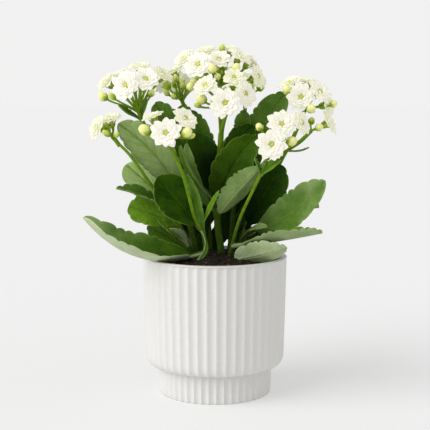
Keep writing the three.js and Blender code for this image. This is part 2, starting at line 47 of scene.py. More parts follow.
bpy.ops.object.camera_add(location=(0, -CAMERA_DISTANCE, CAMERA_HEIGHT),
                          rotation=(math.radians(90 - CAMERA_DIP), 0, 0))
camera = bpy.context.object
camera.data.lens = 87.69
camera.data.sensor_width = 36
camera.data.clip_end = 60
bpy.context.scene.camera = camera


def soft_light(tilt, bearing, energy, spread):
    """A broad light from far off: its tilt from overhead, its bearing and its spread in degrees."""
    bpy.ops.object.light_add(type="SUN", rotation=(math.radians(tilt), 0, math.radians(bearing)))
    light = bpy.context.object.data
    light.energy = energy
    light.angle = math.radians(spread)


soft_light(tilt=55, bearing=-62, energy=2.1, spread=55)
soft_light(tilt=72, bearing=84, energy=0.24, spread=70)

# The tent lights the scene with one grey, and the camera sees a backdrop as bright as the floor.
world = bpy.data.worlds.new("tent")
world.use_nodes = True
tent = world.node_tree
fill = tent.nodes["Background"]
fill.inputs["Color"].default_value = (0.64, 0.64, 0.64, 1)
backdrop = tent.nodes.new("ShaderNodeBackground")
backdrop.inputs["Color"].default_value = (0.884, 0.884, 0.881, 1)
seen = tent.nodes.new("ShaderNodeLightPath")
either = tent.nodes.new("ShaderNodeMixShader")
tent.links.new(seen.outputs["Is Camera Ray"], either.inputs[0])
tent.links.new(fill.outputs[0], either.inputs[1])
tent.links.new(backdrop.outputs[0], either.inputs[2])
tent.links.new(either.outputs[0], tent.nodes["World Output"].inputs["Surface"])
bpy.context.scene.world = world


class Value:
    """A socket in a material. Operators on values add Math nodes."""

    def __init__(self, tree, socket=None):
        self.tree = tree
        self.socket = socket

    def node(self, kind, inputs, output=0, **settings):
        """Adds any node: its settings first, then the values or links of its sockets."""
        made = self.tree.nodes.new(kind)
        for name, setting in settings.items():
            setattr(made, name, setting)
        for name, value in inputs.items():
            if isinstance(value, Value):
                self.tree.links.new(value.socket, made.inputs[name])
            else:
                made.inputs[name].default_value = value
        return Value(self.tree, made.outputs[output])

    def math(self, operation, *values):
        return self.node("ShaderNodeMath", dict(enumerate(values)), operation=operation)

    def __add__(self, other):
        return self.math("ADD", self, other)

    def __radd__(self, other):
        return self.math("ADD", other, self)

    def __sub__(self, other):
        return self.math("SUBTRACT", self, other)

    def __rsub__(self, other):
        return self.math("SUBTRACT", other, self)

    def __mul__(self, other):
        return self.math("MULTIPLY", self, other)

    def __rmul__(self, other):
        return self.math("MULTIPLY", other, self)

    def between(self, low, high):
        """0 below low, 1 above high and a smooth step between them."""
        return self.node("ShaderNodeMapRange", {0: self, 1: low, 2: high},
                         interpolation_type="SMOOTHSTEP")

    def mix(self, first, second):
        """The first colour where this value is 0, the second where it is 1."""
        colours = [c if isinstance(c, Value) else (*c, 1) for c in (first, second)]
        return self.node("ShaderNodeMix", {0: self, 6: colours[0], 7: colours[1]}, output=2,
                         data_type="RGBA")

    def place(self):
        """The object's own coordinates, in metres."""
        return self.node("ShaderNodeTexCoord", {}, output="Object")

    def noise(self, scale, detail=3, roughness=0.5):
        """Noise on the object's own coordinates, in cells of 1 / scale metres."""
        return self.node("ShaderNodeTexNoise", {"Vector": self.place(), "Scale": scale,
                                                "Detail": detail, "Roughness": roughness})

    def split(self):
        """The three numbers of a vector."""
        return [self.node("ShaderNodeSeparateXYZ", {0: self}, output=k) for k in range(3)]

    def mark(self, name):
        """The number that the mesh stores at each point under this name."""
        return self.node("ShaderNodeAttribute", {}, output="Fac", attribute_name=name)

    def marks(self, name):
        """The three numbers that the mesh stores at each point under this name."""
        return self.node("ShaderNodeAttribute", {}, output="Vector", attribute_name=name).split()


def finish_of(name, **constants):
    """A new material, its shader with these constant sockets, and a start for its maths."""
    made = bpy.data.materials.new(name)
    made.use_nodes = True
    shader = made.node_tree.nodes["Principled BSDF"]
    for socket, value in constants.items():
        shader.inputs[socket.replace("_", " ")].default_value = value
    return made, shader, Value(made.node_tree)


def feed(shader, **values):
    """Links these values to the shader's sockets of the same names."""
    for socket, value in values.items():
        shader.id_data.links.new(value.socket, shader.inputs[socket.replace("_", " ")])


def bump(start, height, distance, strength=1.0):
    """A bump of this height map, its full height in metres."""
    return start.node("ShaderNodeBump", {"Height": height, "Distance": distance,
                                         "Strength": strength})


FLOOR_RADIUS = 30
bpy.ops.object.select_all(action="DESELECT")
bpy.ops.mesh.primitive_circle_add(vertices=96, radius=FLOOR_RADIUS, fill_type="NGON")
floor = bpy.context.object
floor.name = "floor"
paper, shader, start = finish_of("pale_floor", Roughness=1, Specular_IOR_Level=0,
                                 Emission_Color=(1, 1, 0.998, 1), Emission_Strength=0.352)
grain = start.noise(900, 2)
feed(shader, Base_Color=grain.between(0.3, 0.7).mix((0.495, 0.495, 0.493), (0.505, 0.505, 0.503)))
floor.data.materials.append(paper)

# ---- The pot ----
# A slip-cast ceramic pot in a white satin glaze: 48 hollow flutes run up the wall and up the
# narrower foot, and stop under a plain thin lip. Cast in one piece, it stands flat on its foot.
MM = 0.001
RIM_RADIUS, POT_HEIGHT, WALL = 60, 115, 5
FOOT_RADIUS, FOOT_HEIGHT, FOOT_HOLLOW = 47.5, 24, 1.2
FLUTES, FLUTE_DEPTH, FLUTE_TURN = 48, 1.35, math.radians(1.25)
CREST_SOFTNESS, SAMPLES_A_FLUTE = 0.004, 10
BORE = RIM_RADIUS - WALL

# The profile, part by part: the radius and the height that a part is measured from, then its
# points as radius, height and how deep the flutes are there.
POT_PARTS = [
    # The hollow underside, the ring it stands on and the foot's wall.
    (0, FOOT_HOLLOW, [(0, 0, 0), (30, 0, 0), (41, 0, 0)]),
    (FOOT_RADIUS, 0, [(-5, 0.1, 0), (-2.9, 0, 0), (-1.7, 0, 0.4), (-0.9, 0.3, 0.9),
                      (-0.6, 1, 1), (-0.4, 6, 1), (-0.2, 12, 1), (-0.1, 18, 1)]),
    # The step and the round in-curve above it.
    (FOOT_RADIUS, FOOT_HEIGHT, [(0, -1.2, 1), (0.2, -0.2, 1), (1.3, 0.1, 0.7)]),
    (RIM_RADIUS, FOOT_HEIGHT, [(-8.6, 0.2, 0.5), (-6.6, 0.5, 0.8), (-5.2, 1.3, 1), (-4, 2.5, 1),
                               (-3.1, 4.2, 1), (-2.5, 6.3, 1), (-2.2, 9, 1)]),
    # The wall, which widens a little on its way up.
    (RIM_RADIUS, 0, [(-2.05, 38, 1), (-1.8, 48, 1), (-1.3, 64, 1), (-0.9, 80, 1), (-0.5, 96, 1),
                     (-0.25, 108, 1)]),
    # The plain lip.
    (RIM_RADIUS, POT_HEIGHT, [(-0.2, -2.1, 1), (-0.2, -1.5, 0.9), (-0.15, -1.2, 0.25),
                              (0, -1, 0), (0, -0.5, 0), (-0.2, -0.2, 0), (-0.7, 0, 0)]),
    (BORE, POT_HEIGHT, [(1.2, 0, 0), (0.5, -0.2, 0), (0.1, -0.8, 0)]),
    # Down the smooth inside to the middle of its floor.
    (BORE, 0, [(0, 112, 0), (-0.4, 100, 0), (-1.6, 60, 0), (-2.6, 40, 0), (-6, 30, 0),
               (-12.5, 26, 0), (-13, 7, 0), (-17, 6, 0), (-BORE, 6, 0)]),
]
POT_PROFILE = [(radius + out, height + up, flute)
               for radius, height, points in POT_PARTS for out, up, flute in points]


def pod(sides, rings):
    """A closed round body to shape: its points' turn and height say which ring they are on."""
    bpy.ops.object.select_all(action="DESELECT")
    bpy.ops.mesh.primitive_uv_sphere_add(segments=sides, ring_count=rings, radius=1)
    return bpy.context.object


def read_points(piece):
    points = np.empty(len(piece.data.vertices) * 3)
    piece.data.vertices.foreach_get("co", points)
    return points.reshape(-1, 3)


def on_pod(points):
    """The turn about the axis, and the way from the lower pole, 0, to the upper, 1."""
    turn = np.arctan2(points[:, 1], points[:, 0])
    rise = 1 - np.arccos(np.clip(points[:, 2], -1, 1)) / np.pi
    return turn, rise


def round_places(turn, radius, height):
    """Points round the z axis."""
    return np.stack([radius * np.cos(turn), radius * np.sin(turn), height], 1)


def write_points(piece, points, **marks):
    """Moves a mesh's points, given in mm, and stores values that its materials read."""
    piece.data.vertices.foreach_set("co", (np.asarray(points) * MM).ravel())
    for name, values in marks.items():
        kind, key_name = ("FLOAT_VECTOR", "vector") if np.ndim(values) == 2 else ("FLOAT", "value")
        mark = piece.data.attributes.new(name, kind, "POINT")
        mark.data.foreach_set(key_name, np.asarray(values, float).ravel())
    piece.data.update()


def close_up(piece, angle):
    """Turns all faces outwards and shades the body smooth up to this angle."""
    bpy.ops.object.select_all(action="DESELECT")
    piece.select_set(True)
    bpy.context.view_layer.objects.active = piece
    bpy.ops.object.mode_set(mode="EDIT")
    bpy.ops.mesh.select_all(action="SELECT")
    bpy.ops.mesh.normals_make_consistent(inside=False)
    bpy.ops.object.mode_set(mode="OBJECT")
    bpy.ops.object.shade_smooth_by_angle(angle=math.radians(angle))


# Each point is set on the nearest of a flute's samples; "hollow" is 0 on the flute's crests.
sides = FLUTES * SAMPLES_A_FLUTE
pot = pod(sides, len(POT_PROFILE) - 1)
pot.name = "fluted_pot"
turn, rise = on_pod(read_points(pot))
ring = np.rint(rise * (len(POT_PROFILE) - 1)).astype(int)
radius, height, flute = np.array(POT_PROFILE, float)[ring].T
first = FLUTE_TURN - math.pi / 2
step = 2 * math.pi / sides
turn = first + np.rint((turn - first) / step) * step
wave = np.sin((turn - first) * FLUTES / 2)
hollow = np.sqrt(wave ** 2 + CREST_SOFTNESS) - math.sqrt(CREST_SOFTNESS)
radius = radius - FLUTE_DEPTH * flute * hollow
write_points(pot, round_places(turn, radius, height), hollow=hollow * flute)
close_up(pot, 50)

# The glaze is thinner and warmer at the lip and at the foot's edge, and pools in the flutes.
glaze, shader, start = finish_of("satin_white_glaze", Specular_IOR_Level=0.45)
speckle = start.noise(260, 4, 0.6)
tone = speckle.between(0.35, 0.65).mix((0.685, 0.678, 0.655), (0.705, 0.699, 0.68))
tone = (start.mark("hollow") * 0.5).mix(tone, (0.67, 0.663, 0.64))
up = start.place().split()[2]
thin = up.between(0.1132, 0.1149) + (1 - up.between(0.0, 0.0018))
tone = (thin * speckle.between(0.3, 0.6) * 0.6).mix(tone, (0.60, 0.545, 0.46))
orange_peel = start.noise(700, 2) * 0.6 + start.noise(160, 2) * 0.6
feed(shader, Base_Color=tone, Roughness=speckle.between(0.3, 0.7) * 0.12 + 0.38,
     Normal=bump(start, orange_peel, 0.00012, 0.5))
pot.data.materials.append(glaze)
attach(pot, "root")
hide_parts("pot")

# ---- The soil ----
# Dark moist peat with lighter bits of bark and fibre, pressed round the stems and a little
# higher in the middle. It fills the pot to a few millimetres below the lip.
SOIL_RADIUS, SOIL_EDGE, SOIL_CROWN = 54.4, 111.5, 6
CRUMBS, CRUMB_REACH = 620, 53

# The way from the lower pole to the upper, with the radius and the height there. From SOIL_TOP
# on, the mound sets the height.
SOIL_TOP = 0.24
SOIL_PROFILE = [
    (0, 0, 6.5), (0.06, 41, 6.5), (0.1, 41.5, 26), (0.16, 48, 32), (0.2, 54.3, 50),
    (SOIL_TOP, SOIL_RADIUS, 110.9), (1, 0, 117.5),
]


def mound(reach):
    """The soil's height at this distance from the middle."""
    return SOIL_EDGE + SOIL_CROWN * (1 - (reach / SOIL_RADIUS) ** 2)


soil = pod(150, 110)
soil.name = "peat"
turn, rise = on_pod(read_points(soil))
stops, radii, heights = zip(*SOIL_PROFILE)
radius = np.interp(rise, stops, radii)
top = rise >= SOIL_TOP
height = np.where(top, mound(radius) - 0.6, np.interp(rise, stops, heights))
points = round_places(turn, radius, height)
for i in np.flatnonzero(top):
    x, y, z = points[i]
    clods = noise.fractal(Vector((x, y, 3)) * 0.16, 0.8, 2.2, 4)
    crumbs = noise.fractal(Vector((x, y, 9)) * 0.6, 0.6, 2.0, 3)
    calm_edge = min(1, (1 - radius[i] / SOIL_RADIUS) * 12)
    points[i, 2] += (1.1 * clods + 0.8 * crumbs) * calm_edge
write_points(soil, points)
close_up(soil, 80)

peat, shader, start = finish_of("moist_peat", Specular_IOR_Level=0.25)
fibre = start.noise(700, 4, 0.7).between(0.55, 0.75)
tone = start.noise(160, 4, 0.6).between(0.35, 0.7).mix((0.006, 0.004, 0.002), (0.024, 0.015, 0.008))
tone = (fibre * 0.5).mix(tone, (0.075, 0.048, 0.026))
tone = start.mark("bark").mix(tone, (0.20, 0.12, 0.065))
feed(shader, Base_Color=tone, Roughness=start.noise(300, 2) * 0.3 + 0.65,
     Normal=bump(start, start.noise(1400, 4, 0.7), 0.0007))
soil.data.materials.append(peat)


def copy_of(template, material=None):
    """A copy with a mesh of its own."""
    piece = template.copy()
    piece.data = template.data.copy()
    if material:
        piece.data.materials.append(material)
    bpy.context.collection.objects.link(piece)
    return piece


def join(pieces, name):
    """One piece of several: each keeps its own closed shell."""
    bpy.ops.object.select_all(action="DESELECT")
    for piece in pieces:
        piece.select_set(True)
    bpy.context.view_layer.objects.active = pieces[0]
    bpy.ops.object.join()
    pieces[0].name = name
    return pieces[0]


# Loose crumbs lie on the mound, partly sunk in it; some are bigger, and a few are bark.
bpy.ops.object.select_all(action="DESELECT")
bpy.ops.mesh.primitive_ico_sphere_add(subdivisions=1, radius=1)
crumb = bpy.context.object
crumb_points = read_points(crumb)
draw = np.random.default_rng(5)
crumbs = []
for _ in range(CRUMBS):
    reach = CRUMB_REACH * math.sqrt(draw.uniform(0.0, 1))
    turn = draw.uniform(0, 2 * math.pi)
    x, y = reach * math.cos(turn), reach * math.sin(turn)
    z = mound(reach) + draw.uniform(-0.9, 0.5)
    size = draw.uniform(0.45, 1.0) * (1 if draw.random() < 0.85 else 1.8)
    stretch = draw.uniform(0.5, 1.25, 3)
    ruffle = 1 + draw.uniform(-0.25, 0.25, (len(crumb_points), 1))
    piece = copy_of(crumb, peat)
    write_points(piece, crumb_points * stretch * size * ruffle + (x, y, z),
                 bark=np.full(len(crumb_points), draw.random() ** 6))
    crumbs.append(piece)
bpy.data.objects.remove(crumb)
soil = join([soil] + crumbs, "peat")
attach(soil, "root")
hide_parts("soil")

# ---- The leafy stems ----
# Eight fleshy stems rise from the soil, each with thick waxy leaves, scalloped round the edge
# and paler underneath, and with flower stalks that fork into pedicels, calyces and closed buds.
# Everything green on one stem is grown together, so it is one piece.
STALK_RADIUS, PEDICEL_RADIUS, CUP_LENGTH = 1.5, 0.85, 6.5
LEAF_THICKNESS, MARGIN_THICKNESS, TOOTH_DEPTH, PETIOLE = 1.2, 0.35, 2.1, 0.12
FAR_CURL, YOUNG_BUD_RADIUS = 12, 2.7


def leaf(start, tip, width, face, arch=6, bend=0, fold=14, belly=0.58, teeth=4, young=0.1,
         wax_and_sheen=0.3, tip_wax_and_sheen=0, curl=10, inner=1, pale=0.14, roll=0):
    """A leaf that leaves its stem at the height "start": its tip, its width, the way its upper
    side looks, how far its midrib rises and how far it swings sideways, the angle of its halves,
    its widest place, its scallops a side, how young and yellow it is, how waxy it is with painted
    sheen, how far its tip is paled by wax and painted sheen, the angle to which one margin curls
    up, how much painted shade darkens it deep in the plant, how pale it is underneath and how far
    it rolls about its left margin."""
    return dict(start=start, tip=tip, width=width, face=face, arch=arch, bend=bend, fold=fold,
                belly=belly, teeth=teeth, young=young, wax_and_sheen=wax_and_sheen, tip_wax_and_sheen=tip_wax_and_sheen, curl=curl,
                inner=inner, pale=pale, roll=roll)


# Each head: its stalk, its blooms as (middle, direction, size), its buds as (middle, radius).
STEMS = {
    "centre": dict(
        path=[(6, -2, 98), (5, -2, 120), (2, -2, 142), (2, -1, 170), (4, -3, 200), (5, -6, 217)],
        radius=2.8,
        leaves=[
            leaf(151, (34, -14, 215), 33, (-0.15, -0.97, 0.2), arch=5, bend=-5, belly=0.5, teeth=6,
                 young=0.2, wax_and_sheen=0.05),
            leaf(160, (-18, 6, 217), 28, (0.2, -0.9, 0.2), teeth=5, wax_and_sheen=0, inner=2.6),
            leaf(182, (-21, 26, 235), 16, (0.2, -0.9, 0.3), wax_and_sheen=0.2),
            leaf(192, (32, 20, 222), 21, (-0.1, -0.9, 0.4), arch=3, wax_and_sheen=0),
            leaf(158, (-28, -21, 208), 12, (-0.85, -0.5, 0.2), fold=30, arch=4, young=0.5, teeth=2,
                 inner=0.3),
            leaf(150, (-23, -8, 209), 12, (-0.2, -0.9, 0.3), arch=4, bend=-6, wax_and_sheen=0.5, inner=0.3),
        ],
        heads={
            "top": dict(
                stalk=[(5, -6, 217), (4, -1, 238), (4, 4, 256)],
                blooms=[
                    ((-13, -12, 272), (-0.3, -0.85, 0.4), 0.95),
                    ((3, -3, 276), (0.05, -0.6, 0.8), 0.95),
                    ((20, 3, 279), (0.5, -0.35, 0.8), 0.9),
                    ((-25, 6, 277), (-0.6, -0.5, 0.62), 0.85),
                    ((34, 6, 263), (0.8, -0.45, 0.3), 0.85),
                    ((-8, 15, 283), (-0.2, -0.3, 0.93), 0.85),
                    ((12, 17, 285), (0.15, -0.25, 0.95), 0.85),
                    ((28, 17, 275), (0.6, 0.3, 0.75), 0.85),
                ],
                buds=[((-2, -18, 269), 3.6), ((17, -14, 270), 3.6), ((2, -15, 263), 2.8),
                      ((6, 8, 286), 2.6)],
            ),
            "middle": dict(
                stalk=[(5, -6, 214), (7, -11, 226), (10, -14, 236)],
                blooms=[
                    ((-7, -24, 255), (-0.4, -0.7, 0.6), 0.85),
                    ((8, -38, 242), (0, -1, 0.08), 1),
                    ((23, -28, 249), (0.7, -0.65, 0.2), 0.95),
                    ((15, -20, 261), (0.2, -0.75, 0.65), 0.8),
                ],
                buds=[((-11, -24, 245), 4), ((-1, -30, 243), 2.6), ((-14, -22, 240), 2.2)],
            ),
        },
    ),
    "left": dict(
        path=[(-14, 6, 98), (-16, 6, 116), (-24, 6, 150), (-36, 0, 182), (-61, -8, 230)],
        radius=2.1,
        leaves=[
            leaf(160, (-78, -22, 225), 35, (-0.3, -0.85, 0.45), arch=2, bend=7, teeth=5, belly=0.57,
                 wax_and_sheen=1.2, curl=130, inner=0.3),
            leaf(140, (-75, 16, 190), 32, (-0.3, -0.75, 0.6), belly=0.66, wax_and_sheen=1.5, inner=0),
            leaf(122, (-68, 52, 154), 38, (-0.2, 0.5, 0.85), teeth=3),
            leaf(229, (-78, -16, 240), 7, (0.3, -0.6, 0.7), arch=-1, teeth=1),
            leaf(229, (-55, -12, 245), 6, (-0.6, -0.8, 0), arch=1, teeth=1),
        ],
        heads={
            "left_upper": dict(
                stalk=[(-60, -8, 228), (-61, -9, 231), (-62, -9, 234)],
                blooms=[
                    ((-71, -20, 256), (-0.4, -0.9, 0.15), 1),
                    ((-56, -15, 260), (0.1, -0.75, 0.65), 1),
                    ((-88, -4, 258), (-0.65, -0.4, 0.6), 0.8),
                    ((-79, 6, 264), (-0.4, -0.15, 0.9), 0.85),
                    ((-62, 8, 270), (0, -0.3, 0.95), 0.85),
                    ((-44, 4, 264), (0.5, -0.35, 0.75), 0.85),
                ],
                buds=[((-91, -11, 247), 3.6), ((-83, -16, 247), 2.6), ((-52, -8, 250), 3)],
            ),
        },
    ),
    "left_low": dict(
        path=[(-18, -5, 98), (-20, -4, 116), (-31, -9, 145), (-52, -27, 177), (-68, -34, 201),
              (-76, -33, 209)],
        radius=1.45,
        leaves=[
            leaf(137, (-71, -8, 157), 30, (-0.1, -0.8, 0.6), young=0.7, belly=0.66, wax_and_sheen=0.3),
            leaf(146, (-80, -22, 173), 20, (-0.1, -0.35, 1), wax_and_sheen=0.25, curl=30),
            leaf(124, (-36, -18, 140), 12, (0.5, 0.8, 0), arch=1, teeth=2, pale=0.6),
            leaf(127, (-47, -15, 147), 14, (0.1, -0.7, 0.7), arch=2, teeth=3, young=0.5),
            leaf(118, (-56, -2, 140), 26, (0.05, -0.75, 0.65), arch=3, teeth=3, young=0.3),
        ],
        heads={
            "left_lower": dict(
                stalk=[(-76, -33, 208), (-79, -31, 212), (-82, -29, 215)],
                blooms=[
                    ((-93, -29, 222), (-0.8, -0.5, 0.3), 0.85),
                    ((-84, -20, 228), (-0.2, -0.3, 0.93), 0.8),
                ],
                buds=[((-86, -36, 218), 2.6), ((-78, -37, 217), 2.4)],
            ),
        },
    ),
    "front_left": dict(
        path=[(-8, -18, 98), (-8, -18, 116), (-9, -22, 134), (-16, -27, 149), (-25, -38, 184),
              (-34, -44, 206)],
        radius=1.7,
        leaves=[
            leaf(139, (-46, -31, 183), 35, (-0.3, -0.9, 0.3), belly=0.58, young=0, wax_and_sheen=0,
                 roll=-20),
            leaf(141, (3, -41, 173), 5.5, (-0.5, -0.7, 0.4), arch=0, teeth=1, young=0.7),
            leaf(141, (-14, -45, 118), 5, (0.8, -0.4, 0.3), arch=3, bend=-6, teeth=2, wax_and_sheen=0.6),
            leaf(134, (-23, -28, 185), 11, (-0.5, -0.8, 0.3), arch=3, bend=4, wax_and_sheen=0.3),
            leaf(121, (-104, -45, 152), 40, (0.1, -0.34, 0.94), arch=-15, bend=-10, fold=42,
                 belly=0.42, teeth=6, wax_and_sheen=0.14, tip_wax_and_sheen=1.1, curl=5, pale=0.95),
        ],
        heads={
            "front_left": dict(
                stalk=[(-34, -44, 205), (-35, -44, 210), (-36, -43, 214)],
                blooms=[
                    ((-38, -51, 219), (-0.1, -1, 0.1), 1),
                    ((-24, -41, 229), (0.5, -0.6, 0.6), 0.9),
                    ((-49, -35, 230), (-0.35, -0.15, 0.93), 0.8),
                ],
                buds=[((-55, -47, 221), 4.4), ((-22, -51, 219), 4), ((-19, -44, 216), 2.4)],
            ),
        },
    ),
    "front_right": dict(
        path=[(12, -16, 98), (12, -16, 116), (15, -20, 130), (20, -28, 149), (37, -42, 188),
              (41, -45, 199)],
        radius=1.4,
        leaves=[
            leaf(126, (84, -53, 141), 27, (0, 0.05, 1), arch=-1, fold=34, teeth=6, young=0.3,
                 wax_and_sheen=0.5, pale=0.4),
            leaf(113, (57, -45, 128), 25, (0, 0.9, 0.45), arch=-2, belly=0.42, teeth=5, inner=0,
                 pale=0.65),
            leaf(185, (51, -50, 198), 9, (0.2, -0.7, 0.7), arch=1, teeth=1, young=0.5),
            leaf(185, (31, -49, 199), 5, (-0.2, -0.5, 0.8), arch=1, teeth=1, young=0.3),
            leaf(196, (3, -25, 153), 24, (-0.3, 0.95, 0), arch=3, fold=30, belly=0.55, teeth=6,
                 wax_and_sheen=0.2, curl=0, inner=0.6, pale=0.12),
        ],
        heads={
            "front_right": dict(
                stalk=[(41, -45, 198), (44, -42, 204), (48, -39, 210)],
                blooms=[
                    ((44, -51, 210), (0, -1, 0.08), 1),
                    ((52, -45, 225), (0.1, -0.85, 0.35), 0.95),
                    ((67, -37, 226), (0.8, -0.5, 0.3), 0.9),
                ],
                buds=[((60, -46, 212), 3.8), ((35, -40, 223), 3), ((56, -32, 231), 3)],
            ),
        },
    ),
    "right": dict(
        path=[(20, 6, 98), (21, 6, 116), (28, 12, 140), (45, 17, 171), (54, 12, 191),
              (60, 2, 204)],
        radius=2.2,
        leaves=[
            leaf(134, (56, 5, 190), 35, (-0.1, -0.95, 0.3), belly=0.56, teeth=6, young=0, wax_and_sheen=0,
                 inner=2),
            leaf(134, (88, -30, 180), 34, (-0.25, -0.85, 0.5), arch=0, bend=9, belly=0.55, teeth=6,
                 wax_and_sheen=0.65),
            leaf(122, (43, -22, 141), 12, (0, -0.5, 0.85), teeth=2, wax_and_sheen=0.8),
            leaf(126, (90, 34, 152), 36, (0.3, 0.4, 0.85), teeth=3),
            leaf(203, (76, -18, 206), 5, (0, -0.2, 1), arch=-2, teeth=1),
            leaf(128, (60, -12, 132), 20, (0, -0.3, 0.95), arch=1, teeth=3, wax_and_sheen=0),
        ],
        heads={
            "right_upper": dict(
                stalk=[(60, 2, 202), (67, -1, 219), (74, -1, 236)],
                blooms=[
                    ((70, -10, 247), (-0.1, -0.97, -0.1), 0.95),
                    ((85, -5, 250), (0.5, -0.55, 0.6), 0.95),
                    ((92, 4, 240), (0.85, -0.4, 0.2), 0.85),
                    ((62, 3, 257), (-0.45, -0.35, 0.85), 0.85),
                    ((77, 13, 258), (0.1, -0.05, 1), 0.85),
                ],
                buds=[((59, -7, 252), 3.6), ((78, -14, 237), 3.6), ((97, -5, 241), 2.8)],
            ),
            "right_lower": dict(
                stalk=[(60, 2, 203), (70, -3, 210), (79, -5, 219)],
                blooms=[((93, 0, 225), (0.85, -0.3, 0.4), 0.9)],
                buds=[((85, -11, 222), 3), ((80, 4, 227), 2.8)],
            ),
        },
    ),
    "back_left": dict(
        path=[(-3, 20, 98), (-4, 20, 116), (-8, 25, 160), (-16, 27, 200), (-22, 27, 230)],
        radius=2.3,
        leaves=[
            leaf(184, (-51, 30, 242), 26, (-0.2, -0.9, 0.4)),
            leaf(196, (-29, 48, 240), 17, (-0.1, -0.8, 0.5)),
            leaf(118, (-58, 66, 158), 40, (-0.2, 0.3, 0.95), teeth=2),
            leaf(128, (-20, 84, 176), 40, (0, -0.3, 0.95), teeth=3),
            leaf(166, (-48, 58, 212), 34, (0.2, -0.5, 0.8), teeth=3),
            leaf(126, (-34, 30, 172), 32, (0.2, -0.9, 0.4), teeth=2, wax_and_sheen=0),
            leaf(112, (10, 43, 134), 18, (0, -0.9, 0.4), teeth=2, wax_and_sheen=0),
            leaf(110, (-28, 40, 132), 24, (0, -0.9, 0.4), teeth=2, wax_and_sheen=0),
        ],
        heads={
            "back_left": dict(
                stalk=[(-22, 27, 228), (-25, 29, 236), (-28, 31, 243)],
                blooms=[
                    ((-42, 38, 257), (-0.5, 0.6, 0.6), 0.85),
                    ((-30, 50, 258), (-0.2, 0.9, 0.4), 0.9),
                    ((-13, 46, 264), (0.3, 0.6, 0.75), 0.85),
                    ((-34, 26, 268), (-0.3, -0.2, 0.95), 0.8),
                ],
                buds=[((-20, -8, 255), 3.4), ((-18, 8, 259), 3), ((-27, 8, 256), 2.6),
                      ((-40, 2, 250), 2.5), ((-34, -4, 247), 2.4), ((-32, 4, 262), 2.6)],
            ),
        },
    ),
    "back_right": dict(
        path=[(12, 18, 98), (13, 19, 116), (17, 30, 160), (23, 40, 200), (26, 44, 232)],
        radius=2.3,
        leaves=[
            leaf(194, (60, 24, 250), 28, (-0.2, -0.95, 0.2), arch=3, wax_and_sheen=0.4),
            leaf(160, (34, 40, 212), 28, (-0.1, -0.9, 0.3), teeth=2, wax_and_sheen=0),
            leaf(203, (25, 25, 236), 16, (-0.1, -0.9, 0.4), arch=3, wax_and_sheen=0.3),
            leaf(120, (52, 74, 156), 40, (0.2, 0.3, 0.95), teeth=3),
            leaf(142, (60, 60, 176), 34, (-0.3, -0.3, 0.9), teeth=3),
            leaf(165, (24, 84, 212), 34, (0, -0.5, 0.8), teeth=3),
            leaf(117, (9, 52, 175), 30, (0.1, -0.9, 0.4), teeth=2, wax_and_sheen=0),
            leaf(109, (38, 38, 130), 26, (0, -0.85, 0.5), teeth=2, wax_and_sheen=0),
        ],
        heads={
            "back_right": dict(
                stalk=[(26, 44, 230), (26, 45, 240), (26, 46, 248)],
                blooms=[
                    ((10, 52, 265), (-0.4, 0.5, 0.8), 0.85),
                    ((36, 44, 264), (0.7, 0.1, 0.7), 0.85),
                    ((26, 60, 258), (0.2, 0.95, 0.2), 0.9),
                ],
                buds=[((40, 54, 255), 3.4), ((14, 60, 254), 3)],
            ),
        },
    ),
}


def unit(vector):
    return np.asarray(vector, float) / np.linalg.norm(vector)


def units(vectors):
    return vectors / np.linalg.norm(vectors, axis=1)[:, None]


def frame_across(way):
    """Two ways at right angles to this one and to each other."""
    aside = unit(np.cross(way, (0.2, 0.35, 0.9)))
    return aside, np.cross(way, aside)


def blade(across, along):
    """A flat blade to shape: x from -1 to 1 across, y along, z above or below its middle."""
    bpy.ops.object.select_all(action="DESELECT")
    bpy.ops.mesh.primitive_grid_add(x_subdivisions=across, y_subdivisions=along, size=2)
    made = bpy.context.object
    wall = made.modifiers.new("wall", "SOLIDIFY")
    wall.thickness, wall.offset = 1, 0
    bpy.ops.object.modifier_apply(modifier=wall.name)
    return made


def smooth_path(points, count):
    """Places along a smooth curve through the points, and the curve's heading at each."""
    p = np.array(points, float)
    p = np.vstack([2 * p[0] - p[1], p, 2 * p[-1] - p[-2]])
    places = []
    for value in np.linspace(0, len(points) - 1, count):
        k = min(int(value), len(points) - 2)
        s = value - k
        a, b, c, d = p[k:k + 4]
        ab, bc, cd = (math.sqrt(np.linalg.norm(q - r)) for q, r in ((b, a), (c, b), (d, c)))
        leave = ((b - a) / ab - (c - a) / (ab + bc) + (c - b) / bc) * bc
        reach = ((c - b) / bc - (d - b) / (bc + cd) + (d - c) / cd) * bc
        places.append((2 * s**3 - 3 * s**2 + 1) * b + (s**3 - 2 * s**2 + s) * leave
                      + (3 * s**2 - 2 * s**3) * c + (s**3 - s**2) * reach)
    places = np.array(places)
    return places, units(np.gradient(places, axis=0))


def deep_among_leaves(points):
    """How much painted shade a point gets: 1 in the dark middle of the plant, low down, and 0 on
    its outside.
    """
    x, y, z = np.asarray(points).T
    in_the_middle = np.exp(-((x - 4) / 36) ** 2)
    behind_the_front = np.clip((y + 34) / 38, 0, 1)
    below_the_top = np.clip((226 - z) / 50, 0, 1)
    return in_the_middle * behind_the_front * below_the_top


